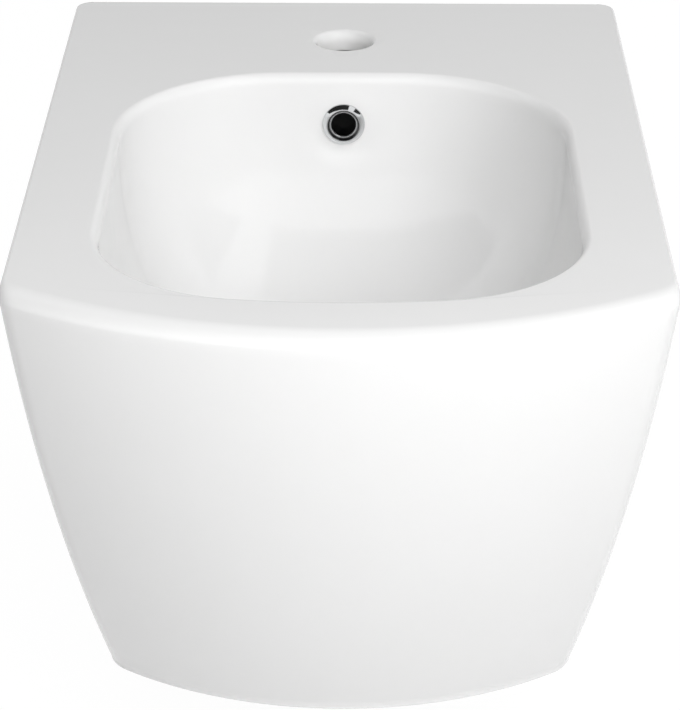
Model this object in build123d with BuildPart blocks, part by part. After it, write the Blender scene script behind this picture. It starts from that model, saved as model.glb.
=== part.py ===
from build123d import *
import os
from math import atan2, cos, degrees, pi, radians, sin, sqrt

os.makedirs("parts", exist_ok=True)

# A wall-hung bidet, in mm. The origin lies on the wall, midway between the two fixing
# holes. X points right as seen from the room, Y points into the wall, Z points up.

# Ceramic, outside. It is widest and longest at the foot of the rounded rim.
width = 360
depth = 526
height = 300
foot_width = 278
foot_depth = 403
fixing_drop = 105  # from the deck down to the fixing holes
rim_height = 8
rim_inset_side = 3
rim_inset_front = 12
wall_corner_radius = 9
corner_radius = 20
bow_radius = 316
foot_corner_radius = 25
foot_bow_radius = 219
side_lean = 0.74  # slope just below the rim, as a share of the skirt's mean slope
front_lean = 0.43
foot_rounding = 3

# Ceramic, walls.
deck_thickness = 14
skirt_wall = 9
bowl_wall = 9
rear_wall = 15
cavity_corner_radius = 14

# Basin.
basin_half_width = 133
basin_back = 138  # distances from the wall
basin_front = 478
basin_back_radius = 98
basin_corner_radius = 88
basin_bow_radius = 418
basin_edge_radius = 8
basin_depth = 150
basin_roundness = 2.4  # of the superellipse that the basin's side follows
basin_floor_radius = 36
bowl_foot_radius = 46  # where the outside of the bowl meets its flat underside
arc_spread = 1  # between the radii of an outline's arcs where it is nearly round

# Holes in the deck and the back.
tap_hole_radius = 17.5
tap_hole_distance = 74
tap_lip = 2
fixing_distance = 180
fixing_hole_radius = 12
fixing_boss_radius = 24
fixing_boss_height = 12
pipe_opening_width = 130
pipe_opening_top = 20
pipe_opening_radius = 25

# Drain, its boss and the chamber that collects the overflow water.
drain_distance = 290
drain_hole_radius = 23
boss_radius = 40
boss_length = 39  # below the underside of the bowl
chamber_radius = 28
chamber_drop = 12  # below the basin's floor
chamber_height = 24

# Overflow duct, a square channel down the back of the bowl. Its bends are given by
# their distances in front of the basin's back edge and below the basin's floor.
overflow_drop = 33
overflow_hole_radius = 11
overflow_seat_radius = 14.5
overflow_seat_inset = 1
duct_width = 28
duct_gap = 12
duct_wall = 7
duct_top = (-18, -136)
duct_shoulder = (-14, -72)
duct_heel = (42, 2)
duct_bend_radius = 45

# Waste fitting, a turned brass body with its seals and nut.
flange_radius = 31.5
flange_thickness = 3.5
flange_chamfer = 1
flange_recess_clearance = 1.5
flange_seal_thickness = 2
tail_radius = 20.95
tail_bore_radius = 18
tail_length = 86  # below the top of the flange
tail_end_length = 17  # for the trap's nut, below a run-out groove
groove_radius = 20
groove_height = 2
throat_radius = 25
throat_depth = 6
slot_width = 12
slot_height = 16
slot_count = 4
slot_turn = 45
thread_clearance = 0.05
cone_seal_radius = 32
cone_seal_neck_radius = 27
cone_seal_thickness = 6
slip_washer_radius = 31
slip_washer_thickness = 2
back_nut_collar_radius = 31
back_nut_collar_thickness = 3
back_nut_flats = 55
back_nut_thickness = 10

# Spider and press-to-close mechanism inside the tail.
spider_drop = 36  # from the top of the flange to the top of the hub
spider_height = 12
hub_radius = 8
hub_bore_radius = 5
arm_width = 4
arm_count = 3
housing_radius = 9.5
housing_length = 24
housing_bore_radius = 6.5
housing_floor = 2.5
collar_thickness = 3
collar_spigot = 2
plunger_radius = 4
plunger_head_radius = 6.2
plunger_head_height = 4
plunger_neck_radius = 3
plunger_neck_length = 5
sliding_clearance = 0.3
spring_wire_radius = 0.5
spring_turns = 4

# Plug, drawn raised. It drops by its travel to close.
plug_travel = 7.5
plug_seat_gap = 0.2
cap_radius = 31
cap_edge_thickness = 2.5
cap_crown = 3
cap_crown_radius = 22
cap_boss_radius = 6
cap_boss_length = 6
plug_seal_radius = 29.5
plug_seal_width = 4
plug_seal_thickness = 3
plug_seal_groove = 1.5

# Overflow ring and its grip.
ring_radius = 13.5
ring_lip = 1
ring_crest_radius = 11.6
ring_crest = 3.6
ring_bevel = 1.2
ring_funnel_radius = 8.5
ring_funnel_height = 0.5
ring_bore_radius = 7.4
barrel_radius = 8.9
barrel_length = 14
grip_length = 10
grip_fin_height = 0.8
grip_fin_thickness = 1.2
grip_fin_count = 2
fit_clearance = 0.1

# Wall fixings, one set on each side.
stud_bore_radius = 6.5
sleeve_clearance = 0.2
sleeve_flange_radius = 17
sleeve_flange_thickness = 3
rubber_washer_radius = 17
rubber_washer_thickness = 2
steel_washer_radius = 15
steel_washer_thickness = 2.5
fixing_nut_flats = 19
fixing_nut_thickness = 10
fixing_nut_bore_radius = 6.1

# Levels and distances that follow from the sizes above.
deck = fixing_drop
foot = deck - height
skirt_foot = foot + foot_rounding
rim_foot = deck - rim_height
basin_floor = deck - basin_depth
recess_radius = flange_radius + flange_recess_clearance
recess_depth = flange_thickness + flange_seal_thickness
boss_foot = basin_floor - bowl_wall - boss_length
chamber_top = basin_floor - chamber_drop
overflow_level = deck - overflow_drop
seat_distance = basin_back + overflow_seat_inset
fixing_depth = rear_wall + fixing_boss_height
drain_centre = (0, -drain_distance)
drain_axis = Axis((*drain_centre, 0), (0, 0, 1))
drain_plane = Plane.XZ.offset(drain_distance)
overflow_axis = Axis((0, 0, overflow_level), (0, 1, 0))

# The ring's seat. Its X points to the room and its Y up.
ring_seat = (0, -seat_distance, overflow_level)
ring_plane = Plane(origin=ring_seat, x_dir=(0, -1, 0), z_dir=(-1, 0, 0))

# Levels of the lofts, as shares of the skirt's height and as angles of a quarter turn.
skirt_levels = [0, 0.25, 0.5, 0.75, 1]
cavity_top = (deck_thickness - rim_height) / (rim_foot - skirt_foot)
cavity_levels = [cavity_top, *skirt_levels[1:]]
rim_levels = [0, 30, 60, 90]
foot_levels = [0, 45, 90]
basin_levels = [0, 15, 30, 45, 60, 75, 90]

# The duct's centre line, seen from the side, from above the overflow to the chamber.
duct_bends = [duct_top, duct_shoulder, duct_heel]
duct_line = [(-basin_back - ahead, basin_floor - drop) for ahead, drop in duct_bends]
duct_end = chamber_radius - drain_distance - duct_gap / 2
duct_line.append((duct_end, chamber_top - chamber_height / 2))


def mix(start, end, share):
    """Return the value that lies a share of the way from start to end."""
    return start + (end - start) * share


def ease(share, lean):
    """Return a share that starts at the slope lean and speeds up to reach 1."""
    return lean * share + (1 - lean) * share**2


def outline(z, half_width, back, front, back_radius, side_radius, bow):
    """Draw a level outline: straight back and sides, rounded corners, bowed front.

    Back and front are distances from the wall. Each front corner is an arc that meets
    the side and touches the bow's circle from inside.
    """
    bow_y = bow - front
    reach = half_width - side_radius
    side_y = bow_y - sqrt((bow - side_radius) ** 2 - reach**2)
    swing = degrees(atan2(bow_y - side_y, reach))
    back_x = half_width - back_radius
    back_y = -back - back_radius
    with BuildSketch(Plane.XY.offset(z)) as section:
        with BuildLine():
            Line((back_x, -back), (-back_x, -back))
            CenterArc((-back_x, back_y), back_radius, 90, 90)
            Line((-half_width, back_y), (-half_width, side_y))
            CenterArc((-reach, side_y), side_radius, 180, swing)
            CenterArc((0, bow_y), bow, 180 + swing, 180 - 2 * swing)
            CenterArc((reach, side_y), side_radius, -swing, swing)
            Line((half_width, side_y), (half_width, back_y))
            CenterArc((back_x, back_y), back_radius, 0, 90)
        make_face()
    return section.sketch


def skirt_section(share, inset=0, back=0, back_radius=wall_corner_radius):
    """Draw the skirt's outline a share of the way from the rim's foot to the bottom."""
    side_share = ease(share, side_lean)
    front_share = ease(share, front_lean)
    return outline(
        mix(rim_foot, skirt_foot, share),
        mix(width, foot_width, side_share) / 2 - inset,
        back,
        mix(depth, foot_depth, front_share) - inset,
        back_radius,
        mix(corner_radius, foot_corner_radius, share) - inset,
        mix(bow_radius, foot_bow_radius, share) - inset,
    )


def foot_section(angle):
    """Draw one level of the rounded bottom edge, whose side is a quarter circle."""
    inward = foot_rounding * (1 - cos(radians(angle)))
    return outline(
        skirt_foot - foot_rounding * sin(radians(angle)),
        foot_width / 2 - inward,
        0,
        foot_depth - inward,
        wall_corner_radius,
        foot_corner_radius - inward,
        foot_bow_radius - inward,
    )


def rim_section(angle):
    """Draw one level of the rounded rim, whose side is a quarter of an ellipse."""
    inward = 1 - cos(radians(angle))
    return outline(
        rim_foot + rim_height * sin(radians(angle)),
        width / 2 - rim_inset_side * inward,
        0,
        depth - rim_inset_front * inward,
        wall_corner_radius,
        corner_radius - rim_inset_side * inward,
        bow_radius - rim_inset_front * inward,
    )


def basin_section(angle, wall=0):
    """Draw one level of the basin, or of the bowl outside it.

    Down the side the outline shrinks to the round floor along a quarter superellipse.
    """
    inward = 1 - cos(radians(angle))
    top = deck - basin_edge_radius
    drop = (top - basin_floor + wall) * sin(radians(angle)) ** (2 / basin_roundness)
    end = bowl_foot_radius if wall else basin_floor_radius
    return outline(
        top - drop,
        mix(basin_half_width + wall, end, inward),
        mix(basin_back - wall, drain_distance - end, inward),
        mix(basin_front + wall, drain_distance + end, inward),
        mix(basin_back_radius + wall, end - arc_spread, inward),
        mix(basin_corner_radius + wall, end - arc_spread, inward),
        mix(basin_bow_radius + wall, end + arc_spread, inward),
    )


def basin_edge_section(angle):
    """Draw one level of the rounding that leads from the basin's side onto the deck."""
    grow = basin_edge_radius * (1 - cos(radians(angle)))
    rise = basin_edge_radius * (sin(radians(angle)) - 1)
    return outline(
        deck + rise,
        basin_half_width + grow,
        basin_back - grow,
        basin_front + grow,
        basin_back_radius + grow,
        basin_corner_radius + grow,
        basin_bow_radius + grow,
    )


def save(piece, name):
    """Label a finished piece and write it as its own file."""
    piece.part.label = name
    export_step(piece.part, f"parts/{name}.step")
    print(name, round(piece.part.volume / 1000, 2), "cm3")


# Vitreous china, fired in one piece: skirt, rim, deck, bowl, duct and back wall.
with BuildPart() as ceramic:
    loft([skirt_section(share) for share in skirt_levels], ruled=True)
    loft([rim_section(angle) for angle in rim_levels], ruled=True)
    loft([foot_section(angle) for angle in foot_levels], ruled=True)

    # The underside is open and hollow up to the deck.
    cavity = [
        skirt_section(share, skirt_wall, rear_wall, cavity_corner_radius)
        for share in cavity_levels
    ]
    loft(cavity, ruled=True, mode=Mode.SUBTRACT)
    extrude(cavity[-1], amount=-foot_rounding, mode=Mode.SUBTRACT)

    loft([basin_section(angle, bowl_wall) for angle in basin_levels], ruled=True)
    with BuildSketch(Plane.XY.offset(basin_floor - bowl_wall)):
        with Locations((0, -drain_distance)):
            Circle(boss_radius)
    extrude(amount=-boss_length)

    with BuildSketch(Plane.YZ):
        with BuildLine():
            FilletPolyline(*duct_line, radius=duct_bend_radius)
        trace(line_width=duct_gap + 2 * duct_wall)
    extrude(amount=duct_width / 2 + duct_wall, both=True)

    with BuildSketch(Plane.XZ.offset(rear_wall)):
        with GridLocations(fixing_distance, 0, 2, 1):
            Circle(fixing_boss_radius)
    extrude(amount=fixing_boss_height)

    # The basin, with its edge rounded onto the deck.
    for section, levels in ((basin_section, basin_levels), (basin_edge_section, rim_levels)):
        loft([section(angle) for angle in levels], ruled=True, mode=Mode.SUBTRACT)

    # Drain: a recess for the flange, the hole, and the chamber round its middle.
    drain_cuts = [
        (recess_radius, basin_floor, recess_depth),
        (drain_hole_radius, basin_floor, bowl_wall + boss_length),
        (chamber_radius, chamber_top, chamber_height),
    ]
    for radius, top, cut in drain_cuts:
        with BuildSketch(Plane.XY.offset(top)):
            with Locations(drain_centre):
                Circle(radius)
        extrude(amount=-cut, mode=Mode.SUBTRACT)

    # Overflow: the duct's inside, the hole into it and the flat seat of its ring.
    with BuildSketch(Plane.YZ):
        with BuildLine():
            FilletPolyline(*duct_line, radius=duct_bend_radius)
        trace(line_width=duct_gap)
    extrude(amount=duct_width / 2, both=True, mode=Mode.SUBTRACT)
    with BuildSketch(Plane.XZ.offset(seat_distance)):
        with Locations((0, overflow_level)):
            Circle(overflow_hole_radius)
    extrude(amount=-overflow_seat_inset + duct_top[0], mode=Mode.SUBTRACT)
    with BuildSketch(Plane.XZ.offset(seat_distance)):
        with Locations((0, overflow_level)):
            Circle(overflow_seat_radius)
    extrude(amount=overflow_seat_radius, mode=Mode.SUBTRACT)

    # Tap hole through the deck, with a bevelled lip.
    with BuildSketch(Plane.XY.offset(deck)):
        with Locations((0, -tap_hole_distance)):
            Circle(tap_hole_radius)
    extrude(amount=-deck_thickness, mode=Mode.SUBTRACT)
    chamfer(ceramic.edges(Select.LAST).group_by(Axis.Z)[-1], tap_lip)

    # Back wall: two fixing holes through their bosses and an opening for the pipes.
    with BuildSketch(Plane.XZ):
        with GridLocations(fixing_distance, 0, 2, 1):
            Circle(fixing_hole_radius)
    extrude(amount=fixing_depth, mode=Mode.SUBTRACT)
    with BuildSketch(Plane.XZ):
        with Locations((0, foot)):
            opening_size = (pipe_opening_width, pipe_opening_top - foot)
            opening = Rectangle(*opening_size, align=(Align.CENTER, Align.MIN))
        fillet(opening.vertices().group_by(Axis.Y)[-1], pipe_opening_radius)
    extrude(amount=rear_wall, mode=Mode.SUBTRACT)
save(ceramic, "ceramic_body")

# Chromed ring of the overflow: a bevelled crest and a funnel down to its bore. The
# profile gives distances from the seat towards the room, and radii.
with BuildPart() as overflow_ring:
    with BuildSketch(ring_plane):
        with BuildLine():
            Polyline(
                (0, ring_radius),
                (ring_lip, ring_radius),
                (ring_crest - ring_bevel, ring_crest_radius + ring_bevel),
                (ring_crest, ring_crest_radius),
                (ring_crest - ring_bevel, ring_crest_radius - ring_bevel),
                (ring_funnel_height, ring_funnel_radius),
                (ring_funnel_height, ring_bore_radius),
                (-barrel_length, ring_bore_radius),
                (-barrel_length, barrel_radius),
                (0, barrel_radius),
                close=True,
            )
        make_face()
    revolve(axis=overflow_axis)
save(overflow_ring, "overflow_ring")

# Rubber sleeve that grips the ring's barrel and, with its fins, the ceramic hole.
with BuildPart() as overflow_grip:
    grip_bore = barrel_radius + fit_clearance
    fin_radius = overflow_hole_radius - fit_clearance
    with BuildSketch(ring_plane):
        with Locations((0, grip_bore)):
            core = (grip_length, fin_radius - grip_fin_height - grip_bore)
            Rectangle(*core, align=(Align.MAX, Align.MIN))
        with Locations((-grip_length / 2, grip_bore)):
            with GridLocations(grip_length / grip_fin_count, 0, grip_fin_count, 1):
                fin = (grip_fin_thickness, fin_radius - grip_bore)
                Rectangle(*fin, align=(Align.CENTER, Align.MIN))
    revolve(axis=overflow_axis)
save(overflow_grip, "overflow_grip_seal")

# Waste body: flange, throat, tail with overflow slots, and the spider in its bore.
with BuildPart() as waste_body:
    with BuildSketch(drain_plane):
        with BuildLine():
            flange_foot = basin_floor - flange_thickness
            tail_foot = basin_floor - tail_length
            Polyline(
                (throat_radius, basin_floor),
                (flange_radius - flange_chamfer, basin_floor),
                (flange_radius, basin_floor - flange_chamfer),
                (flange_radius, flange_foot),
                (tail_radius, flange_foot),
                (tail_radius, tail_foot + tail_end_length + groove_height),
                (groove_radius, tail_foot + tail_end_length + groove_height),
                (groove_radius, tail_foot + tail_end_length),
                (tail_radius, tail_foot + tail_end_length),
                (tail_radius, tail_foot),
                (tail_bore_radius, tail_foot),
                (tail_bore_radius, basin_floor - throat_depth),
                close=True,
            )
        make_face()
    revolve(axis=drain_axis)
    with BuildSketch(Plane.XY.offset(basin_floor - spider_drop)):
        with Locations(drain_centre):
            Circle(hub_radius)
            with PolarLocations(0, arm_count, start_angle=90):
                arm_length = mix(tail_bore_radius, tail_radius, 0.5)
                Rectangle(arm_length, arm_width, align=(Align.MIN, Align.CENTER))
            Circle(hub_bore_radius, mode=Mode.SUBTRACT)
    extrude(amount=-spider_height)
    slot_level = chamber_top - chamber_height / 2
    for index in range(slot_count):
        turn = radians(slot_turn + 360 * index / slot_count)
        slot_plane = Plane((*drain_centre, slot_level), z_dir=(cos(turn), sin(turn), 0))
        with BuildSketch(slot_plane):
            SlotOverall(slot_height, slot_width, rotation=90)
        extrude(amount=flange_radius, mode=Mode.SUBTRACT)
save(waste_body, "waste_body")

# Flat gasket between the flange and the ceramic.
with BuildPart() as flange_seal:
    with BuildSketch(Plane.XY.offset(basin_floor - flange_thickness)):
        with Locations(drain_centre):
            Circle(flange_radius)
            Circle(drain_hole_radius, mode=Mode.SUBTRACT)
    extrude(amount=-flange_seal_thickness)
save(flange_seal, "waste_flange_seal")

# Tapered rubber seal under the boss, then a slip washer and the back nut.
tail_hole_radius = tail_radius + thread_clearance
washer_top = boss_foot - cone_seal_thickness
nut_top = washer_top - slip_washer_thickness
with BuildPart() as cone_seal:
    with BuildSketch(drain_plane):
        with BuildLine():
            Polyline(
                (tail_hole_radius, boss_foot),
                (cone_seal_neck_radius, boss_foot),
                (cone_seal_radius, washer_top),
                (tail_hole_radius, washer_top),
                close=True,
            )
        make_face()
    revolve(axis=drain_axis)
save(cone_seal, "waste_cone_seal")

with BuildPart() as slip_washer:
    with BuildSketch(Plane.XY.offset(washer_top)):
        with Locations(drain_centre):
            Circle(slip_washer_radius)
            Circle(tail_hole_radius, mode=Mode.SUBTRACT)
    extrude(amount=-slip_washer_thickness)
save(slip_washer, "waste_slip_washer")

with BuildPart() as back_nut:
    with BuildSketch(Plane.XY.offset(nut_top)):
        with Locations(drain_centre):
            Circle(back_nut_collar_radius)
    extrude(amount=-back_nut_collar_thickness)
    with BuildSketch(Plane.XY.offset(nut_top - back_nut_collar_thickness)):
        with Locations(drain_centre):
            RegularPolygon(back_nut_flats / 2, 6, major_radius=False)
    extrude(amount=-back_nut_thickness)
    with BuildSketch(Plane.XY.offset(nut_top)):
        with Locations(drain_centre):
            Circle(tail_hole_radius)
    extrude(amount=-back_nut_collar_thickness - back_nut_thickness, mode=Mode.SUBTRACT)
save(back_nut, "waste_back_nut")

# Housing of the mechanism, screwed into the hub and closed by a collar on top.
housing_foot = basin_floor - spider_drop
housing_top = housing_foot + housing_length
with BuildPart() as housing:
    with BuildSketch(drain_plane):
        with BuildLine():
            spigot_radius = hub_bore_radius - thread_clearance
            Polyline(
                (0, housing_foot + housing_floor),
                (housing_bore_radius, housing_foot + housing_floor),
                (housing_bore_radius, housing_top),
                (housing_radius, housing_top),
                (housing_radius, housing_foot),
                (spigot_radius, housing_foot),
                (spigot_radius, housing_foot - spider_height),
                (0, housing_foot - spider_height),
                close=True,
            )
        make_face()
    revolve(axis=drain_axis)
save(housing, "clicker_housing")

with BuildPart() as collar:
    with BuildSketch(Plane.XY.offset(housing_top)):
        with Locations(drain_centre):
            Circle(housing_radius)
    extrude(amount=collar_thickness)
    with BuildSketch(Plane.XY.offset(housing_top)):
        with Locations(drain_centre):
            Circle(housing_bore_radius - thread_clearance)
    extrude(amount=-collar_spigot)
    with BuildSketch(Plane.XY.offset(housing_top + collar_thickness)):
        with Locations(drain_centre):
            Circle(plunger_radius + sliding_clearance)
    extrude(amount=-collar_thickness - collar_spigot, mode=Mode.SUBTRACT)
save(collar, "clicker_collar")

# Plug: a bevelled cap on a boss, carried by the plunger, with a seal ring under its edge.
cap_foot = basin_floor + plug_seat_gap + plug_seal_thickness - plug_seal_groove + plug_travel
cap_boss_foot = cap_foot - cap_boss_length
head_top = housing_top - collar_spigot - plug_seat_gap
head_foot = head_top - plunger_head_height
with BuildPart() as cap:
    with BuildSketch(drain_plane):
        with BuildLine():
            cap_edge = cap_foot + cap_edge_thickness
            neck_radius = plunger_neck_radius + thread_clearance
            groove_side = plug_seal_radius - plug_seal_width
            Polyline(
                (0, cap_edge + cap_crown),
                (cap_crown_radius, cap_edge + cap_crown),
                (cap_radius, cap_edge),
                (cap_radius, cap_foot),
                (plug_seal_radius, cap_foot),
                (plug_seal_radius, cap_foot + plug_seal_groove),
                (groove_side, cap_foot + plug_seal_groove),
                (groove_side, cap_foot),
                (cap_boss_radius, cap_foot),
                (cap_boss_radius, cap_boss_foot),
                (neck_radius, cap_boss_foot),
                (neck_radius, cap_boss_foot + plunger_neck_length),
                (0, cap_boss_foot + plunger_neck_length),
                close=True,
            )
        make_face()
    revolve(axis=drain_axis)
save(cap, "plug_cap")

with BuildPart() as plug_seal:
    with BuildSketch(Plane.XY.offset(cap_foot + plug_seal_groove)):
        with Locations(drain_centre):
            Circle(plug_seal_radius)
            Circle(plug_seal_radius - plug_seal_width, mode=Mode.SUBTRACT)
    extrude(amount=-plug_seal_thickness)
save(plug_seal, "plug_seal")

with BuildPart() as plunger:
    with BuildSketch(drain_plane):
        with BuildLine():
            Polyline(
                (0, cap_boss_foot + plunger_neck_length),
                (plunger_neck_radius, cap_boss_foot + plunger_neck_length),
                (plunger_neck_radius, cap_boss_foot),
                (plunger_radius, cap_boss_foot),
                (plunger_radius, head_top),
                (plunger_head_radius, head_top),
                (plunger_head_radius, head_foot),
                (0, head_foot),
                close=True,
            )
        make_face()
    revolve(axis=drain_axis)
save(plunger, "clicker_plunger")

# Spring between the plunger's head and the housing's floor, in half turns of one
# six-sided wire.
spring_foot = housing_foot + housing_floor + spring_wire_radius
spring_top = head_foot - spring_wire_radius
spring_radius = plunger_head_radius - spring_wire_radius - sliding_clearance
spring_gap = (spring_top - spring_foot) / spring_turns - 2 * spring_wire_radius
print("gap between the spring's turns", round(spring_gap, 2))


def spring_point(turns):
    """Return the point of the spring's centre line after a number of turns."""
    angle = 2 * pi * turns
    rise = mix(spring_foot, spring_top, turns / spring_turns)
    return (spring_radius * cos(angle), -drain_distance + spring_radius * sin(angle), rise)


with BuildPart() as spring:
    with BuildLine() as wire:
        for index in range(2 * spring_turns):
            turns = index / 2
            ThreePointArc(*[spring_point(turns + share) for share in (0, 0.25, 0.5)])
    with BuildSketch(Plane(wire.wire() @ 0, z_dir=wire.wire() % 0)):
        RegularPolygon(spring_wire_radius, 6)
    sweep(path=wire.wire())
save(spring, "clicker_spring")

# Wall fixings, from the ceramic inward: rubber washer, sleeve, steel washer and nut.
sleeve_seat = fixing_depth + rubber_washer_thickness
steel_seat = sleeve_seat + sleeve_flange_thickness
nut_seat = steel_seat + steel_washer_thickness
sleeve_radius = fixing_hole_radius - sleeve_clearance
for side, x in (("left", -fixing_distance / 2), ("right", fixing_distance / 2)):
    with BuildPart() as sleeve:
        with BuildSketch(Plane.XZ):
            with Locations((x, 0)):
                Circle(sleeve_radius)
        extrude(amount=sleeve_seat)
        with BuildSketch(Plane.XZ.offset(sleeve_seat)):
            with Locations((x, 0)):
                Circle(sleeve_flange_radius)
        extrude(amount=sleeve_flange_thickness)
        with BuildSketch(Plane.XZ):
            with Locations((x, 0)):
                Circle(stud_bore_radius)
        extrude(amount=steel_seat, mode=Mode.SUBTRACT)
    save(sleeve, f"fixing_sleeve_{side}")

    with BuildPart() as rubber_washer:
        with BuildSketch(Plane.XZ.offset(fixing_depth)):
            with Locations((x, 0)):
                Circle(rubber_washer_radius)
                Circle(sleeve_radius + fit_clearance, mode=Mode.SUBTRACT)
        extrude(amount=rubber_washer_thickness)
    save(rubber_washer, f"fixing_rubber_washer_{side}")

    with BuildPart() as steel_washer:
        with BuildSketch(Plane.XZ.offset(steel_seat)):
            with Locations((x, 0)):
                Circle(steel_washer_radius)
                Circle(stud_bore_radius, mode=Mode.SUBTRACT)
        extrude(amount=steel_washer_thickness)
    save(steel_washer, f"fixing_steel_washer_{side}")

    with BuildPart() as fixing_nut:
        with BuildSketch(Plane.XZ.offset(nut_seat)):
            with Locations((x, 0)):
                RegularPolygon(fixing_nut_flats / 2, 6, major_radius=False)
                Circle(fixing_nut_bore_radius, mode=Mode.SUBTRACT)
        extrude(amount=fixing_nut_thickness)
    save(fixing_nut, f"fixing_nut_{side}")
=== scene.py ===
# %% [markdown]
# # A wall-hung bidet in glazed white china
#
# The CAD parts come in first and stay where they are. They are the fixed frame, in
# metres: X points right, Y into the wall, Z up, and the origin lies on the wall between
# the two fixing holes. New surfaces are laid over the parts that need a finer shape, and
# every part gets a finish of its own.

# %% Load the frame
from math import radians

import bmesh
import bpy
import numpy as np
from mathutils import Euler, Matrix, Vector


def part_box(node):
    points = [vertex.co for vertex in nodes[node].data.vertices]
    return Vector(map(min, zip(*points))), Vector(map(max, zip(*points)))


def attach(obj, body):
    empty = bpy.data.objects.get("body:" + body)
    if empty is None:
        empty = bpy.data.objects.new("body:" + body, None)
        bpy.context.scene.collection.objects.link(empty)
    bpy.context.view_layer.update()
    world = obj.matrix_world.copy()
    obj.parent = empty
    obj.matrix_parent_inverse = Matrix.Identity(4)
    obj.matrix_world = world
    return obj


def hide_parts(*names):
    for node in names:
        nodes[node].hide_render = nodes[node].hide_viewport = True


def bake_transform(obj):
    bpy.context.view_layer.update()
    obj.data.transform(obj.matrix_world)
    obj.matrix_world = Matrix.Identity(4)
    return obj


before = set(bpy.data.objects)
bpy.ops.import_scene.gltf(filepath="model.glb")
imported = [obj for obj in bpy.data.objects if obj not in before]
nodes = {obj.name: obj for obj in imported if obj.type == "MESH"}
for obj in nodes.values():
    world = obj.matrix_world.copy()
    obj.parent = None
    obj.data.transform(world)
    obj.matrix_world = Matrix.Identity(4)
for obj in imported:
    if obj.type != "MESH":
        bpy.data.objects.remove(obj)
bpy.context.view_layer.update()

# %% [markdown]
# Shader maths reads best as plain sums. A small class wraps the output of a node, and
# its operators add Math nodes. One method adds every other kind of node.


# %% A wire between shader nodes
class Wire:
    """The output of a shader node. Sums and products of wires add Math nodes."""

    def __init__(self, socket):
        self.socket = socket

    def node(self, kind, settings=None, output=0, **inputs):
        """Add a node: first its settings, then a value or a wire for each input.

        An input is named in lower case with underscores, or input_0 by its place.
        """
        tree = self.socket.id_data
        made = tree.nodes.new(kind)
        for name, value in (settings or {}).items():
            setattr(made, name, value)
        for name, value in inputs.items():
            place = name.removeprefix("input_")
            key = int(place) if place.isdigit() else name.replace("_", " ").title()
            connect(tree, made.inputs[key], value)
        return Wire(made.outputs[output])

    def maths(self, operation, first, second=0.0):
        settings = {"operation": operation}
        return self.node("ShaderNodeMath", settings, input_0=first, input_1=second)

    def __add__(self, other):
        return self.maths("ADD", self, other)

    def __sub__(self, other):
        return self.maths("SUBTRACT", self, other)

    def __rsub__(self, other):
        return self.maths("SUBTRACT", other, self)

    def __mul__(self, other):
        return self.maths("MULTIPLY", self, other)

    def __truediv__(self, other):
        return self.maths("DIVIDE", self, other)

    def __gt__(self, other):
        return self.maths("GREATER_THAN", self, other)

    def __lt__(self, other):
        return self.maths("LESS_THAN", self, other)

    __radd__ = __add__


def connect(tree, place, value):
    """Link a wire to an input, or write a plain value into it."""
    if isinstance(value, Wire):
        tree.links.new(value.socket, place)
    else:
        place.default_value = value


# %% [markdown]
# Every finish starts from Object coordinates. The pieces sit at the origin, so these are
# places on the bidet in metres, and a pattern never slides. A finish ends in the
# Principled shader, where steady values are written straight onto the sockets.


# %% Start and end of a finish
def start_finish(name):
    """Make a material and return it with the wire of its Object coordinates."""
    material = bpy.data.materials.new(name)
    material.use_nodes = True
    coordinates = material.node_tree.nodes.new("ShaderNodeTexCoord")
    return material, Wire(coordinates.outputs["Object"])


def end_finish(material, **values):
    """Give the Principled shader its values and wires, and return the material."""
    tree = material.node_tree
    shader = tree.nodes["Principled BSDF"]
    for name, value in values.items():
        key = "IOR" if name == "ior" else name.replace("_", " ").title()
        connect(tree, shader.inputs[key], value)
    return material


def noise(place, scale, detail=2.0):
    """Return a cloudy pattern from 0 to 1 whose patches are about 1 / scale wide."""
    kind = {"noise_dimensions": "3D"}
    return place.node("ShaderNodeTexNoise", kind, vector=place, scale=scale, detail=detail)


def blend_colors(share, *colors):
    """Return the first colour at a share of 0, the second at 1, and a blend between."""
    first, second = (color if isinstance(color, Wire) else (*color, 1.0)
                     for color in colors)
    inputs = {"input_0": share, "input_6": first, "input_7": second}
    return share.node("ShaderNodeMix", {"data_type": "RGBA"}, output=2, **inputs)


def bump(height, distance, strength=1.0):
    """Return a normal tilted by a height pattern that is distance metres deep."""
    inputs = {"height": height, "distance": distance, "strength": strength}
    return height.node("ShaderNodeBump", **inputs)


def axes_of(place):
    """Return the wires of x, y and z."""
    parts = place.node("ShaderNodeSeparateXYZ", input_0=place).socket.node
    return [Wire(parts.outputs[axis]) for axis in "XYZ"]


# %% [markdown]
# ## The shape of the china
#
# The china is one shell. Seen from above, each of its levels is the same kind of
# outline: a straight back, two straight sides, rounded corners and a bowed front. The
# whole shell is a stack of such outlines, from the drain up the basin, over the deck and
# the rim, down the skirt, and back up inside. Both ends of the stack meet at the drain,
# so the grid of points closes on itself both ways, like the skin of a ring.

# %% Sizes of the china, in millimetres
MM = 0.001
drain_distance = 290
deck, foot = 105, -195
width, depth, foot_width, foot_depth = 360, 526, 278, 403
rim_height, rim_inset_side, rim_inset_front = 8, 3, 12
wall_corner_radius, corner_radius, bow_radius = 9, 20, 316
foot_corner_radius, foot_bow_radius, foot_rounding = 25, 219, 3
side_lean, front_lean = 0.74, 0.43
deck_thickness, skirt_wall, bowl_wall, rear_wall, cavity_corner_radius = 14, 9, 9, 15, 14
basin_half_width, basin_back, basin_front, basin_floor = 133, 138, 478, -45
basin_back_radius, basin_corner_radius, basin_bow_radius = 98, 88, 418
basin_edge_radius, basin_roundness, basin_floor_radius, bowl_foot_radius = 8, 2.4, 36, 46
basin_edge_reach = 5  # of the same edge across the deck
deck_fall = 0.5  # of the deck towards the basin
arc_gap = 0.3  # between the arcs of a nearly round level and a full circle
rim_foot, skirt_foot = deck - rim_height, foot + foot_rounding


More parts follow.
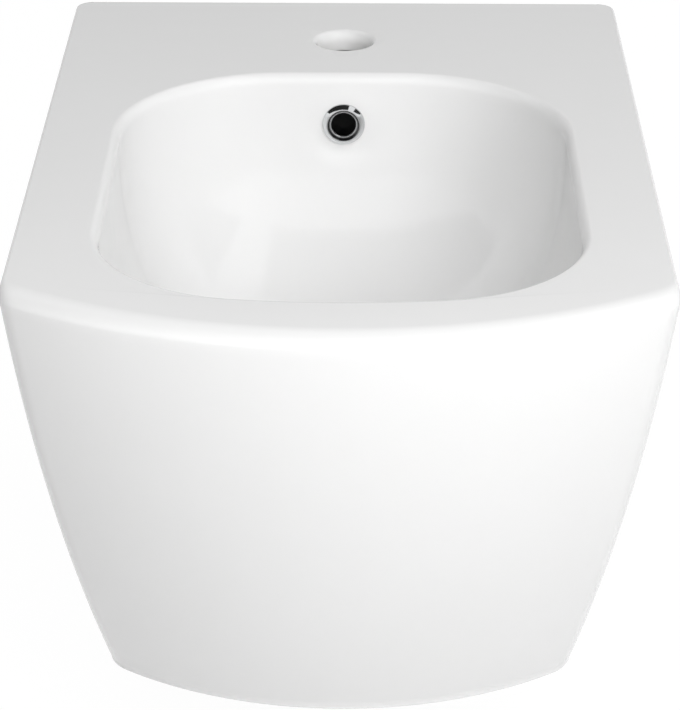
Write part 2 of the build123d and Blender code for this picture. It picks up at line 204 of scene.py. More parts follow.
# %% One level of the china
def outline(z, half_width, back, front, back_radius, side_radius, bow):
    """Return one ring of points for each level, from the middle of the back clockwise.

    Half a ring is a straight back, a corner arc, a straight side, the arc that leads
    into the front, and the bow up to the middle. Each front corner arc meets the side
    and touches the bow's circle from inside. The other half is its mirror image.
    """
    columns = [np.atleast_1d(np.asarray(value, float)) for value in (
        z, half_width, back, front, back_radius, side_radius, bow)]
    z, half_width, back, front, back_radius, side_radius, bow = (
        column[:, None] for column in np.broadcast_arrays(*columns))
    steps = [np.linspace(0, 1, count, endpoint=False) for count in (14, 14, 24, 18, 30)]
    bow_y = bow - front
    reach = half_width - side_radius
    side_y = bow_y - np.sqrt((bow - side_radius) ** 2 - reach**2)
    swing = np.arctan2(bow_y - side_y, reach)
    back_x = half_width - back_radius
    back_y = -back - back_radius
    turn = np.pi / 2 * (1 - steps[1])
    fall = swing * steps[3]
    sweep = swing + (np.pi / 2 - swing) * steps[4]
    xs = [
        back_x * steps[0],
        back_x + back_radius * np.cos(turn),
        half_width + 0 * steps[2],
        reach + side_radius * np.cos(fall),
        bow * np.cos(sweep),
        0 * bow,
    ]
    ys = [
        -back + 0 * steps[0],
        back_y + back_radius * np.sin(turn),
        back_y + (side_y - back_y) * steps[2],
        side_y - side_radius * np.sin(fall),
        bow_y - bow * np.sin(sweep),
        bow_y - bow,
    ]
    x, y = np.hstack(xs), np.hstack(ys)
    x = np.hstack([x, -x[:, -2:0:-1]])
    y = np.hstack([y, y[:, -2:0:-1]])
    return np.stack([x, y, z + 0 * x], axis=2) * MM


def round_level(radius, z, spread=0.05):
    """Return the outlines of circles round the drain's axis."""
    ends = (drain_distance - radius, drain_distance + radius)
    return outline(z, radius, *ends, radius - spread, radius - spread, radius + spread)


print("points in one level", outline(0, 100, 0, 200, 20, 20, 150).shape[1])

# %% [markdown]
# The skirt leans inward towards the foot, and more steeply the lower it gets. The rim
# above it is a quarter of an ellipse. The basin's side follows a superellipse, a curve
# that is fuller than an ellipse, so the basin stays roomy and then turns into its floor.


# %% The outlines of each region
def mix(start, end, share):
    """Return the value that lies a share of the way from start to end."""
    return start + (end - start) * share


def skirt_levels(share, inset=0, back=0, back_radius=wall_corner_radius):
    """Return the skirt a share of the way down.

    With s for the share, its sizes shrink as lean times s plus (1 − lean) times s².
    """
    side = side_lean * share + (1 - side_lean) * share**2
    front = front_lean * share + (1 - front_lean) * share**2
    return outline(
        mix(rim_foot, skirt_foot, share),
        mix(width, foot_width, side) / 2 - inset,
        back,
        mix(depth, foot_depth, front) - inset,
        back_radius,
        mix(corner_radius, foot_corner_radius, share) - inset,
        mix(bow_radius, foot_bow_radius, share) - inset,
    )


def rim_levels(angle):
    """Return the rim: its height follows the sine of the angle, its inset 1 − cosine."""
    inward = 1 - np.cos(angle)
    return outline(
        rim_foot + rim_height * np.sin(angle),
        width / 2 - rim_inset_side * inward,
        0,
        depth - rim_inset_front * inward,
        wall_corner_radius,
        corner_radius - rim_inset_side * inward,
        bow_radius - rim_inset_front * inward,
    )


def foot_levels(angle):
    """Return the rounded bottom edge, a quarter circle in section."""
    inward = foot_rounding * (1 - np.cos(angle))
    return outline(
        skirt_foot - foot_rounding * np.sin(angle),
        foot_width / 2 - inward,
        0,
        foot_depth - inward,
        wall_corner_radius,
        foot_corner_radius - inward,
        foot_bow_radius - inward,
    )


def basin_levels(angle, wall=0):
    """Return the basin, or the bowl outside it: a quarter superellipse in section."""
    inward = 1 - np.cos(angle)
    top = deck - basin_edge_radius
    drop = (top - basin_floor + wall) * np.sin(angle) ** (2 / basin_roundness)
    end = bowl_foot_radius if wall else basin_floor_radius
    return outline(
        top - drop,
        mix(basin_half_width + wall, end, inward),
        mix(basin_back - wall, drain_distance - end, inward),
        mix(basin_front + wall, drain_distance + end, inward),
        mix(basin_back_radius + wall, end - arc_gap, inward),
        mix(basin_corner_radius + wall, end - arc_gap, inward),
        mix(basin_bow_radius + wall, end + arc_gap, inward),
    )


def edge_levels(angle):
    """Return the rounding from the basin's side onto the deck, a quarter of an ellipse."""
    grow = basin_edge_reach * (1 - np.cos(angle))
    return outline(
        deck - basin_edge_radius + (basin_edge_radius - deck_fall) * np.sin(angle),
        basin_half_width + grow,
        basin_back - grow,
        basin_front + grow,
        basin_back_radius + grow,
        basin_corner_radius + grow,
        basin_bow_radius + grow,
    )


# %% [markdown]
# The stack starts inside the drain. Straight steps of the drain are circles, and its
# edges are softened by a small arc, because glaze never covers a sharp edge.


# %% Stack the levels into one shell
quarter = np.pi / 2
down = np.linspace(1, 0, 64)
drain_profile = np.array([
    (24.5, -93), (23.4, -92.6), (23, -91.5), (23, -82), (24, -81), (28, -81), (28, -57),
    (24, -57), (23, -56), (23, -51.5), (24, -50.5), (33, -50.5), (33, -46.5), (33.2, -45.6),
    (34.2, -45.02),
])
boss_profile = np.array([(40, -54.2), (40, -91), (39.4, -92.4), (38, -93)])
rim_turn, edge_turn = np.linspace(quarter, 0, 20), np.linspace(0, quarter, 14)
shares = np.linspace(0, 1, 56)
cavity_top = (deck_thickness - rim_height) / (rim_foot - skirt_foot)
bowl_height = deck - basin_edge_radius - basin_floor + bowl_wall
bowl_top_drop = 6  # from the basin's edge down to where the bowl's outside starts
bowl_start = np.arcsin((bowl_top_drop / bowl_height) ** (basin_roundness / 2))
edge, rim = edge_levels(edge_turn[1:]), rim_levels(rim_turn)
across = [0.01, 0.04, 0.1, 0.2, 0.3, 0.4, 0.5, 0.6, 0.7, 0.8, 0.9, 0.96, 0.99]
across = np.array(across)[:, None, None]
deck_rows = mix(edge[-1], rim[0], across)
deck_rows[..., 2:] = (deck - deck_fall * (1 - across) ** 2) * MM
glazed = [
    round_level(*drain_profile.T),
    basin_levels(quarter * down**1.3),
    edge,
    deck_rows,
    rim,
    skirt_levels(shares[1:]),
    foot_levels(np.linspace(0, quarter, 7)[1:]),
]
cavity_shares = mix(1, cavity_top, shares[::3])
bare = [
    skirt_levels(cavity_shares, skirt_wall, rear_wall, cavity_corner_radius),
    basin_levels(bowl_start + (quarter - bowl_start) * np.linspace(0, 1, 40), bowl_wall),
    round_level(*boss_profile.T),
]
glazed, bare = np.concatenate(glazed), np.concatenate(bare)
bare[0, :, 2] = foot * MM
shell = np.concatenate([glazed, bare])
print("levels", len(shell), "of", shell.shape[1], "points")

# %% [markdown]
# The overflow ring sits on a small flat place in the basin's back wall. The wall is
# pulled onto the plane of that seat near the ring, and let go smoothly further out.

# %% Flatten the seat of the overflow ring
overflow_drop, seat_distance = 33, 139
overflow_level = deck - overflow_drop
overflow_z, seat_y = overflow_level * MM, -seat_distance * MM
seat_radius, seat_reach, seat_nearness = 0.0145, 0.027, 0.006


def seat_pull(points):
    """Return how strongly the seat pulls each point.

    It is 1 within the seat's radius, 0 beyond its reach, and follows 3s² − 2s³ between.
    """
    off_axis = np.hypot(points[..., 0], points[..., 2] - overflow_z)
    share = np.clip((seat_reach - off_axis) / (seat_reach - seat_radius), 0, 1)
    near = np.abs(points[..., 1] - seat_y) < seat_nearness
    return share**2 * (3 - 2 * share) * near


pull = seat_pull(shell)
shell[..., 1] = mix(shell[..., 1], seat_y, pull)
print("points pulled onto the seat", int((pull > 0).sum()))

# %% [markdown]
# A grid of points becomes a mesh by joining each point to its neighbours. The same
# function makes the shell, the turned parts and the tools that cut the holes.


# %% From a grid of points to a mesh
def surface(name, points, close_rows=False, finish_index=None):
    """Return an object whose faces join neighbouring points of a grid.

    The second direction always closes on itself. Points that coincide are merged, and
    faces that have shrunk to a line go with them.
    """
    rows, columns = points.shape[:2]
    index = np.arange(rows * columns).reshape(rows, columns)
    below = np.roll(index, -1, axis=0) if close_rows else index[1:]
    above = index if close_rows else index[:-1]
    corners = [above, np.roll(above, -1, 1), np.roll(below, -1, 1), below]
    faces = np.stack(corners, axis=-1).reshape(-1, 4)
    mesh = bpy.data.meshes.new(name)
    mesh.from_pydata(points.reshape(-1, 3), [], faces)
    if finish_index is not None:
        mesh.attributes.new("bare_row", "INT", "FACE")
        values = np.repeat(finish_index, columns).astype(np.int32)
        mesh.attributes["bare_row"].data.foreach_set("value", values)
    piece = bpy.data.objects.new(name, mesh)
    bpy.context.scene.collection.objects.link(piece)
    tidy(mesh)
    return piece


def tidy(mesh, merge=1e-6):
    """Merge doubled points and turn every face outward."""
    shape = bmesh.new()
    shape.from_mesh(mesh)
    bmesh.ops.remove_doubles(shape, verts=shape.verts, dist=merge)
    bmesh.ops.dissolve_degenerate(shape, edges=shape.edges, dist=merge)
    bmesh.ops.recalc_face_normals(shape, faces=shape.faces)
    shape.to_mesh(mesh)
    shape.free()


def smooth(piece, angle=35):
    """Shade a piece smoothly, except over edges sharper than the angle."""
    piece.data.shade_smooth()
    piece.data.set_sharp_from_angle(angle=radians(angle))


bare_rows = (np.arange(len(shell)) >= len(glazed) - 1).astype(int)
china = surface("china_body", shell, close_rows=True, finish_index=bare_rows)
print("faces of the shell", len(china.data.polygons))

# %% [markdown]
# The holes are cut with tools, as a potter cuts them in the wet clay: a turned plug for
# the tap, pegs for the overflow and the fixings, a bent strip for the duct and a rounded
# block for the pipes. The bosses and the duct's outside are added first.


# %% Turned and swept tools
def turned(name, profile, centre, axis, count=96):
    """Return a closed surface of revolution: radius and height along an axis."""
    radius, height = np.array(profile, float).T[:, :, None]
    angle = np.linspace(0, 2 * np.pi, count, endpoint=False)
    around = [radius * np.cos(angle), radius * np.sin(angle)]
    columns = around[:axis] + [height + 0 * angle] + around[axis:]
    return surface(name, (np.stack(columns, axis=2) + centre) * MM)


def rounded_rectangle(half_x, half_y, radius, count=8):
    """Return the points of a rectangle whose corners are quarter circles."""
    angle = np.linspace(0, np.pi / 2, count)
    arc = radius * np.stack([np.cos(angle), np.sin(angle)], axis=1)
    arc += (half_x - radius, half_y - radius)
    flip = arc[::-1]
    return np.concatenate([arc, flip * (-1, 1), -arc, flip * (1, -1)])


def capped(rows):
    """Close both ends of a stack of rings with a fan to each ring's middle."""
    first, last = (np.broadcast_to(row.mean(0), row.shape) for row in (rows[0], rows[-1]))
    return np.concatenate([[first], rows, [last]])


def bent_path(corners, radius, count=10):
    """Return points and directions along a line whose corners are rounded by arcs."""
    corners = np.array(corners, float)
    ways = np.diff(corners, axis=0)
    ways /= np.linalg.norm(ways, axis=1)[:, None]
    places, headings = [corners[:1]], [ways[:1]]
    for corner, before, after in zip(corners[1:-1], ways[:-1], ways[1:]):
        turn = np.arccos(before @ after)
        side = after - before * (before @ after)
        side /= np.linalg.norm(side)
        begin = corner - before * radius * np.tan(turn / 2)
        angle = np.linspace(0, turn, count)[:, None]
        arc = begin + radius * (np.sin(angle) * before + (1 - np.cos(angle)) * side)
        places.append(arc)
        headings.append(np.cos(angle) * before + np.sin(angle) * side)
    return (np.concatenate([*places, corners[-1:]]),
            np.concatenate([*headings, ways[-1:]]))


def strip(name, corners, bend, half_width, half_thickness, rounding):
    """Sweep a rounded rectangle along a bent path that lies in the middle plane."""
    places, headings = bent_path(corners, bend)
    section = rounded_rectangle(half_width, half_thickness, rounding)
    normals = headings[:, ::-1] * (-1, 1)
    x = np.broadcast_to(section[:, 0], (len(places), len(section)))
    yz = places[:, None] + normals[:, None] * section[None, :, 1:]
    return surface(name, capped(np.dstack([x, yz[..., 0], yz[..., 1]])) * MM)


# %% Sizes of the bosses and holes, in millimetres
duct_bend, duct_half_width = 45, 21
# The neck of the tap hole is 1 mm smaller in radius than the solid's.
tap_distance, tap_radius, tap_recess_radius = 74, 16.5, 24
tap_lip_reach, tap_lip_drop, tap_lip_gap = 4.5, 8, 0.1
boss_radius, boss_reach, boss_rounding = 24, 27, 3
fixing_side, fixing_hole_radius, overflow_hole_radius = 90, 12, 11
# The opening for the pipes ends at a height of -20 here, and of 20 in the solid.
pipe_half_width, pipe_half_height, pipe_middle, pipe_rounding = 65, 107.5, -127.5, 25

# %% Make the tools
duct_inside = [(-120, 91), (-124, 27), (-180, -47), (-268, -69)]
duct_outside = [(-119.75, 95), *duct_inside[1:3], (-259.5, -66.9)]
duct_outer = strip("duct_outer", duct_outside, duct_bend, duct_half_width, 13, 6)
duct_inner = strip("duct_inner", duct_inside, duct_bend, 14, 6, 3)
spans = np.linspace(0, quarter, 9)
lip_foot, over_deck = deck - tap_lip_drop - tap_lip_gap, deck + 9
lip = [(tap_radius + tap_lip_reach * (1 - np.cos(a)), lip_foot + tap_lip_drop * np.sin(a))
       for a in spans]
tap_profile = [(0, 80), (tap_recess_radius, 80), (tap_recess_radius, 92.5),
               (tap_radius, 92.5), *lip, (tap_radius + tap_lip_reach, over_deck),
               (0, over_deck)]
cutters = [turned("tap_cutter", tap_profile, (0, -tap_distance, 0), 2), duct_inner]
boss_edge = [(boss_radius - boss_rounding * (1 - np.cos(a)),
              boss_rounding * (1 - np.sin(a)) - boss_reach) for a in spans]
boss_outline = [(0, -12), (boss_radius, -12), *boss_edge, (0, -boss_reach)]


def peg(radius, start, end):
    """Return the profile of a round tool between two distances from the wall."""
    return [(0, start), (radius, start), (radius, end), (0, end)]


bosses = [duct_outer]
for side in (-fixing_side, fixing_side):
    bosses.append(turned("boss", boss_outline, (side, 0, 0), 1, 64))
    cutters.append(turned("peg", peg(fixing_hole_radius, 3, -40), (side, 0, 0), 1, 64))
overflow_cut = peg(overflow_hole_radius, -118, -160)
cutters.append(turned("overflow_peg", overflow_cut, (0, 0, overflow_level), 1, 72))
opening = rounded_rectangle(pipe_half_width, pipe_half_height, pipe_rounding, 14)
opening = np.stack([opening[:, 0], 0 * opening[:, 0], opening[:, 1] + pipe_middle], axis=1)
opening_rows = opening + np.array([4, -24])[:, None, None] * (0, 1, 0)
cutters.append(surface("pipe_cutter", capped(opening_rows) * MM))
print("added", len(bosses), "and cut", len(cutters))


# %% Add the bosses and cut the holes
def combine(piece, others, operation):
    """Add others to a piece, or cut them out, and throw the tools away."""
    tools = bpy.data.collections.new("tools")
    for tool in others:
        tools.objects.link(tool)
    modifier = piece.modifiers.new(operation, "BOOLEAN")
    modifier.operation = operation
    modifier.operand_type = "COLLECTION"
    modifier.collection = tools
    modifier.solver = "MANIFOLD"
    bpy.context.view_layer.update()
    evaluated = piece.evaluated_get(bpy.context.evaluated_depsgraph_get())
    mesh = bpy.data.meshes.new_from_object(evaluated)
    piece.modifiers.clear()
    piece.data = mesh
    for tool in others:
        bpy.data.objects.remove(tool)
    bpy.data.collections.remove(tools)


combine(china, bosses, "UNION")
combine(china, cutters, "DIFFERENCE")
tidy(china.data)
smooth(china)
print("faces of the finished china", len(china.data.polygons))


# %% Put the china in its place
def stand_for(piece, node, body="base"):
    """Let a finished piece stand for a CAD node and move with its body."""
    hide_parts(node)
    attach(piece, body)


stand_for(china, "ceramic_body")

# %% [markdown]
# ## The small turned pieces that show
#
# The overflow ring is a turned brass ring with a rounded flange, a shallow hollow and a
# thin raised lip round its bore. The plug is a pressed cap with a low dome. Both are
# bodies of revolution, so a short profile of radius and height is enough, and a smooth
# curve through its points gives the polished surface something to reflect.


# %% A smooth profile
def rounded_profile(points, count=6):
    """Return a profile through the points, curved by a Catmull-Rom spline between them.

    Between two points the curve is a cubic whose slope at each end is half the step from
    the point before to the point after.
    """
    points = np.array(points, float)
    padded = np.concatenate([points[:1], points, points[-1:]])
    before, start, end, after = padded[:-3], padded[1:-2], padded[2:-1], padded[3:]
    share = np.linspace(0, 1, count, endpoint=False)[None, :, None]
    before, start, end, after = (p[:, None] for p in (before, start, end, after))
    curve = 0.5 * (2 * start + (end - before) * share
                   + (2 * before - 5 * start + 4 * end - after) * share**2
                   + (3 * start - before - 3 * end + after) * share**3)
    return np.concatenate([curve.reshape(-1, 2), points[-1:]])


# %% The overflow ring
face = rounded_profile([
    (13.5, 0.4), (13.3, 1.1), (12.8, 1.7), (12.0, 2.4), (11.2, 3.0), (10.4, 3.4),
    (9.8, 3.0), (9.4, 2.0), (9.0, 1.4), (8.6, 1.4), (8.2, 1.4), (7.8, 1.0), (7.5, 0.2),
    (7.4, -1.2),
])
barrel = [(7.4, -14), (8.9, -14)]
ring_profile = np.concatenate([[(8.9, -14), (8.9, 0), (13.5, 0)], face, barrel])
ring_profile[:, 1] = -ring_profile[:, 1] - seat_distance
ring = turned("overflow_trim", ring_profile, (0, 0, overflow_level), 1, 128)
smooth(ring)
stand_for(ring, "overflow_ring")
print("ring faces", len(ring.data.polygons))

# %% The plug's cap
cap_low, cap_high = (corner.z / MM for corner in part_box("plug_cap"))
cap_boss_length, dome_reach, dome_fall = 6, 29.6, 2.6
cap_foot = cap_low + cap_boss_length
dome_radius = np.linspace(0, dome_reach, 14)
dome_height = cap_high - dome_fall * (dome_radius / dome_reach) ** 2
dome = np.stack([dome_radius, dome_height], axis=1)
seal_groove = [(29.5, cap_foot), (29.5, cap_foot + 1.5), (25.5, cap_foot + 1.5),
               (25.5, cap_foot)]
cap_edge = [(30.6, cap_high - 3.1), (31, cap_high - 3.9), (31, cap_foot + 0.6),
            (30.4, cap_foot), *seal_groove, (6, cap_foot), (6, cap_low), (3.05, cap_low),
            (3.05, cap_low + 5), (0, cap_low + 5)]
cap = turned("plug_dome", [*dome, *cap_edge], (0, -drain_distance, 0), 2, 128)
smooth(cap)
stand_for(cap, "plug_cap", "plug")
print("cap from", round(cap_low, 2), "to", round(cap_high, 2))

# %% [markdown]
# The spring under the plunger shortens by more than half when the plug is pressed. Its
# foot stays on the housing and its top goes with the plunger. It is built as one fixed
# shape between them, with coils that lie wide apart in the middle and close together at
# both ends, as in a spring with closed ends.


# %% The plunger's spring
spring_low, spring_high = (corner.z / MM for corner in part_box("clicker_spring"))
wire_radius, coil_radius = 0.5, 5.4
even_turns, end_turns = 2.8, 11 / 18
share = np.linspace(0, 1, 260)[:, None]
coil_turn = 2 * np.pi * (even_turns * share + end_turns * ((2 * share - 1) ** 9 + 1))
around = np.linspace(0, 2 * np.pi, 12, endpoint=False)
reach = coil_radius + wire_radius * np.cos(around)
level = mix(spring_low + wire_radius, spring_high - wire_radius, share)
level = level + wire_radius * np.sin(around)
coil_x, coil_y = reach * np.cos(coil_turn), reach * np.sin(coil_turn) - drain_distance
coil = np.stack([coil_x, coil_y, level], axis=2)
spring = surface("plunger_spring", capped(coil) * MM)
smooth(spring)
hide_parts("clicker_spring")
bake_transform(spring)
print("spring from", round(spring_low, 2), "to", round(spring_high, 2))

# %% [markdown]
# ## Finishes
#
# Glaze is a thin layer of glass over white clay. It is nearly white and very glossy, and
# it is never quite flat: it pools and thins in soft waves that bend the reflections.
# The wall side, the foot and the hollow underneath are left bare, as matt fired clay.
# The rows of the shell that are bare were marked on its faces, so the finish can mix the
# two by that mark and by the place.

# %% The china's finish
bare_mark = np.zeros(len(china.data.polygons), np.int32)
china.data.attributes["bare_row"].data.foreach_get("value", bare_mark)
centres, normals = np.zeros((2, len(bare_mark) * 3))
china.data.polygons.foreach_get("center", centres)
china.data.polygons.foreach_get("normal", normals)
centres, normals = centres.reshape(-1, 3), normals.reshape(-1, 3)
to_wall = (centres[:, 1] > -0.0005) & (normals[:, 1] > 0.9)
under = centres[:, 2] < foot * MM + 0.0005
# Faces inside the overflow duct, which are painted near black as painted shade.
duct_shade_faces = np.hypot(centres[:, 0], centres[:, 2] - overflow_z) < seat_radius
duct_shade_faces &= (centres[:, 1] > seat_y + 0.0005) & (centres[:, 1] < -0.105)
counts = {"bare": bare_mark, "wall": to_wall, "duct": duct_shade_faces}
print("faces:", ", ".join(f"{name} {int(mark.sum())}" for name, mark in counts.items()))
loops = np.zeros(len(bare_mark), np.int32)
china.data.polygons.foreach_get("loop_total", loops)
for title, chosen in (("bare_clay", (bare_mark > 0) | to_wall | under), ("duct", duct_shade_faces)):
    layer = china.data.attributes.new(title, "FLOAT", "CORNER")
    layer.data.foreach_set("value", np.repeat(chosen, loops).astype(np.float32))
china.data.attributes.remove(china.data.attributes["bare_row"])

material, place = start_finish("glazed_china")
clay = place.node("ShaderNodeAttribute", {"attribute_name": "bare_clay"}, output=2)
# The duct attribute marks where painted shade goes: the inside of the overflow duct.
duct = place.node("ShaderNodeAttribute", {"attribute_name": "duct"}, output=2)
cloud = noise(place, 9.0, 3.0)
waves = noise(place, 38.0, 1.0)
speck = noise(place, 900.0, 2.0)
glaze_color = blend_colors(cloud, (0.885, 0.885, 0.882), (0.9, 0.9, 0.9))
clay_color = blend_colors(speck, (0.74, 0.72, 0.68), (0.84, 0.82, 0.78))
surface_color = blend_colors(clay, glaze_color, clay_color)
# A near black painted into the colour: painted shade inside the overflow duct, and a
# painted dark reflection in the ring's hollow.
painted_shade_color = (0.03, 0.03, 0.03)
end_finish(
    material,
    base_color=blend_colors(duct, surface_color, painted_shade_color),
    roughness=0.06 + cloud * 0.03 + clay * 0.6 + duct * 0.8,
    ior=1.52,
    normal=bump(waves + clay * speck * 0.6, 0.0002, 0.35),
)
china.data.materials.clear()
china.data.materials.append(material)

# %% [markdown]
# The plated pieces are polished, so nearly all of their look is the room around them.
# Water leaves faint marks in the shine, which a cloudy roughness gives.


# %% Chrome
def dress(names, material):
    """Give a finish to CAD nodes and pieces, in place of what they came with."""
    for name in names:
        mesh = bpy.data.objects[name].data
        mesh.materials.clear()
        mesh.materials.append(material)
    print(material.name, "on", ", ".join(names))


def chrome(name, tint, haze, painted_reflection=None):
    """Return polished plate: a metal whose roughness drifts a little over the surface."""
    material, place = start_finish(name)
    marks = noise(place, 260.0, 4.0)
    edge = tuple(value * 0.93 for value in tint)
    color = blend_colors(marks, edge, tint)
    # Where a mask is given, a painted dark reflection in the near black shade colour is
    # blended in.
    if painted_reflection:
        color = blend_colors(painted_reflection(place) * 0.85, color, painted_shade_color)
    return end_finish(
        material,
        base_color=color,
        metallic=1.0,
        roughness=haze + marks * 0.06,
        normal=bump(noise(place, 120.0, 1.0), 0.00005, 0.3),
    )


def hollow_painted_reflection(place):
    """Return the mask of a painted dark reflection: 1 in the ring's hollow and 0 elsewhere,
    by the distance from its axis.
    """
    hollow_radius, hollow_half_width = 0.0094, 0.0011
    x, _, z = axes_of(place)
    z = z - overflow_z
    radius = place.maths("SQRT", x * x + z * z)
    off_line = place.maths("ABSOLUTE", radius - hollow_radius) / hollow_half_width
    return place.maths("MAXIMUM", 1 - off_line * off_line, 0.0)


# The ring's hollow gets a painted dark reflection, a near black band round the bore.
dress(["overflow_trim"], chrome("polished_ring", (0.72, 0.73, 0.74), 0.06, hollow_painted_reflection))
dress(["plug_dome"], chrome("polished_plug", (0.8, 0.81, 0.82), 0.02))

# %% [markdown]
# The waste's tail carries a screw thread for its nut and for the trap. The CAD tail is a
# smooth tube, so the thread is drawn as relief: the height rises and falls once for each
# pitch along the axis, and the angle round the axis shifts it, which winds it into a helix.

# %% The waste fitting
material, place = start_finish("plated_waste")
x, y, z = axes_of(place)
y = y + drain_distance * MM
radius = place.maths("SQRT", x * x + y * y)
turn = place.maths("ARCTAN2", y, x) / (2 * np.pi)
pitch, thread_inside, thread_top = 0.0023, 0.0205, -0.052
thread = place.maths("PINGPONG", z / pitch + turn, 0.5) * 2.0
on_tail = (radius > thread_inside) * (z < thread_top)
marks = noise(place, 240.0, 3.0)
end_finish(
    material,
    base_color=blend_colors(marks, (0.7, 0.71, 0.72), (0.77, 0.78, 0.79)),
    metallic=1.0,
    roughness=0.05 + marks * 0.08 + on_tail * 0.12,
    normal=bump(thread * on_tail + marks * 0.02, 0.0009, 0.8),
)
dress(["waste_body"], material)

# %% [markdown]
# Rubber, moulded plastic, turned brass, zinc plate and drawn wire differ mostly in how
# rough they are and in the grain of their surface.


# %% Rubber and plastics
def moulded(name, low, high, roughness, grain, relief):
    """Return rubber or plastic: a soft shift of colour and a fine moulded grain."""
    material, place = start_finish(name)
    skin = noise(place, grain, 3.0)
    return end_finish(
        material,
        base_color=blend_colors(noise(place, 60.0, 2.0), low, high),
        roughness=roughness - 0.05 + skin * 0.1,
        normal=bump(skin, relief, 0.5),
    )


plastics = {
    "black_rubber": ((0.028, 0.028, 0.03), (0.045, 0.045, 0.046), 0.7, 1500.0, 0.0001),
    "white_plastic": ((0.78, 0.78, 0.76), (0.83, 0.83, 0.81), 0.42, 1800.0, 0.00004),
    "black_plastic": ((0.04, 0.04, 0.043), (0.055, 0.055, 0.06), 0.38, 1400.0, 0.00006),
}
rubber, white, black = (moulded(name, *look) for name, look in plastics.items())
dress(["overflow_grip_seal", "waste_flange_seal", "waste_cone_seal", "plug_seal",
       "fixing_rubber_washer_left", "fixing_rubber_washer_right"], rubber)
dress(["waste_slip_washer", "fixing_sleeve_left", "fixing_sleeve_right"], white)
dress(["waste_back_nut"], black)


# %% Metals
def machined(name, low, high, roughness, stretch):
    """Return turned or drawn metal: fine lines that are long across the stretched axis."""
    material, place = start_finish(name)
    lines = place.node("ShaderNodeMapping", input_0=place, scale=stretch)
    grain = noise(lines, 300.0, 3.0)
    return end_finish(
        material,
        base_color=blend_colors(noise(place, 90.0, 3.0), low, high),
        metallic=1.0,
        roughness=roughness + grain * 0.14,
        normal=bump(grain, 0.00006, 0.6),
    )


brass = machined("turned_brass", (0.66, 0.5, 0.25), (0.76, 0.6, 0.33), 0.2, (1, 1, 12))
wire = machined("spring_wire", (0.5, 0.51, 0.53), (0.6, 0.61, 0.63), 0.22, (1, 1, 6))
zinc = machined("zinc_plate", (0.6, 0.61, 0.63), (0.7, 0.71, 0.72), 0.26, (1, 5, 1))
dress(["clicker_housing", "clicker_collar", "clicker_plunger"], brass)
dress(["plunger_spring"], wire)
dress([f"fixing_{kind}_{side}" for kind in ("steel_washer", "nut")
       for side in ("left", "right")], zinc)

# %% [markdown]
# ## Floor, light and camera
#
# The bidet hangs clear of a pale floor. Camera, mirror and glass rays see floor and
# surroundings as plain white, while the light that falls on the china comes from a dim
# room and a few large lamps, so the white background adds no light of its own. From
# below the floor is clear, so that the underside can be looked at too.


# %% White surroundings
def seen_white(tree):
    """Return 1 for rays from the camera, a mirror or glass, and 0 for lighting rays."""
    rays = tree.nodes.new("ShaderNodeLightPath")
    camera, glossy, clear = (Wire(rays.outputs[f"Is {kind} Ray"])
                             for kind in ("Camera", "Glossy", "Transmission"))
    return camera.maths("MAXIMUM", camera.maths("MAXIMUM", camera, glossy), clear)


room_light = 0.25
world = bpy.data.worlds.new("studio")
bpy.context.scene.world = world
world.use_nodes = True
seen = seen_white(world.node_tree)
strength = seen * (1 - room_light) + room_light
connect(world.node_tree, world.node_tree.nodes["Background"].inputs["Strength"], strength)
connect(world.node_tree, world.node_tree.nodes["Background"].inputs["Color"], (1, 1, 1, 1))

span = np.linspace(-6, 6, 5)
floor_x, floor_y = np.meshgrid(span, span, indexing="ij")
corner = np.arange(25).reshape(5, 5)
squares = np.stack([corner[:-1, :-1], corner[1:, :-1], corner[1:, 1:], corner[:-1, 1:]], -1)
floor_mesh = bpy.data.meshes.new("floor")
floor_drop = 0.1  # from the foot of the bidet, in metres
floor_points = np.stack([floor_x, floor_y, 0 * floor_x + foot * MM - floor_drop], axis=2)
floor_mesh.from_pydata(floor_points.reshape(-1, 3), [], squares.reshape(-1, 4))
floor = bpy.data.objects.new("floor", floor_mesh)
bpy.context.scene.collection.objects.link(floor)

material = bpy.data.materials.new("pale_floor")
material.use_nodes = True
tree = material.node_tree
tree.nodes.remove(tree.nodes["Principled BSDF"])
seen = seen_white(tree)
matt = seen.node("ShaderNodeBsdfDiffuse", color=(0.8, 0.8, 0.8, 1.0))
floor_glow, glow_share, backfacing = 1.07, 0.9, 6
glow = seen.node("ShaderNodeEmission", strength=floor_glow)
share = seen * glow_share
top = seen.node("ShaderNodeMixShader", input_0=share, input_1=matt, input_2=glow)
from_below = seen.node("ShaderNodeNewGeometry", output=backfacing)
clear = seen.node("ShaderNodeBsdfTransparent")
mixed = seen.node("ShaderNodeMixShader", input_0=from_below, input_1=top, input_2=clear)
connect(tree, tree.nodes["Material Output"].inputs["Surface"], mixed)
floor_mesh.materials.append(material)

# %% [markdown]
# The light comes mostly from the front and a little from the right, and it is weaker
# from above. That is why the deck looks greyer than the skirt, and why the basin's
# right-hand wall, which faces away from the lamp, is the darkest place. Two dark cards
# overhead are seen by polished surfaces only, and give the chrome its dark crescents.


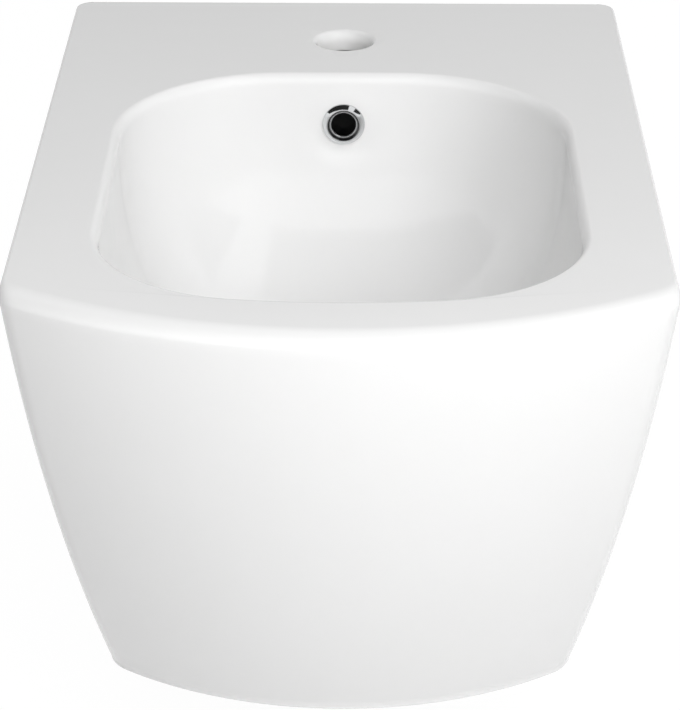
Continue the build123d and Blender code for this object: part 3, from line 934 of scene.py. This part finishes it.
# %% Lamps
def lamp(name, place, aim, size, power):
    """Hang a square soft lamp that faces a point of the bidet."""
    data = bpy.data.lights.new(name, "AREA")
    data.size = size
    data.energy = power
    hung = bpy.data.objects.new(name, data)
    hung.visible_camera = hung.visible_glossy = False
    hung.location = place
    facing = Vector(aim) - Vector(place)
    hung.rotation_euler = facing.to_track_quat("-Z", "Y").to_euler()
    bpy.context.scene.collection.objects.link(hung)


card_height = 2.6
card_x, card_y = np.meshgrid([-6, 1.0, 2.6, 8], [-3.2, 0.4], indexing="ij")
card_mesh = bpy.data.meshes.new("dark_ceiling")
card_points = np.stack([card_x, card_y, 0 * card_x + card_height], axis=2).reshape(-1, 3)
card_mesh.from_pydata(card_points, [], [(0, 1, 3, 2), (4, 5, 7, 6)])
card = bpy.data.objects.new("dark_ceiling", card_mesh)
card.visible_camera = card.visible_diffuse = card.visible_shadow = False
bpy.context.scene.collection.objects.link(card)
material, place = start_finish("dark_card")
end_finish(material, base_color=(0.02, 0.02, 0.02, 1), roughness=0.9)
card_mesh.materials.append(material)

lamps = [
    ("front_right", (1.6, -2.6, 0.9), 1.6, 24.7),
    ("front_high", (0.0, -2.4, 2.2), 1.6, 12.2),
    ("right_high", (1.8, -1.8, 2.0), 1.6, 6.6),
    ("right_steep", (1.2, -0.9, 2.4), 1.0, 8.4),
    ("front_left", (-1.6, -2.6, 0.9), 1.6, 3.9),
    ("near_front", (0.0, -1.5, 0.9), 0.8, 5.9),
    ("near_right", (0.9, -1.4, 0.8), 0.6, 2.0),
    ("behind_low", (0.5, 2.6, -0.06), 0.4, 9.0),
]
middle = (0, -0.28, -0.02)
for name, place, size, power in lamps:
    lamp(name, place, middle, size, power)
print("lamps", len(lamps))

# %% [markdown]
# The camera stands where the photograph's outline says it stood: 1.9 m from the wall and
# 0.63 m above the deck, looking 25 degrees down through a long lens.

# %% Camera and view transform
camera_data = bpy.data.cameras.new("camera")
camera_data.sensor_fit = "HORIZONTAL"
camera_data.angle = radians(13.22)
camera_data.clip_end = 30
camera = bpy.data.objects.new("camera", camera_data)
camera.location = (0.0105, -1.8704, 0.7356)
aim = Euler((radians(64.53), 0, radians(0.41))).to_matrix()
camera.rotation_euler = (aim @ Matrix.Rotation(radians(0.14), 3, "Z")).to_euler()
bpy.context.scene.collection.objects.link(camera)
bpy.context.scene.camera = camera
bpy.context.scene.view_settings.view_transform = "Standard"
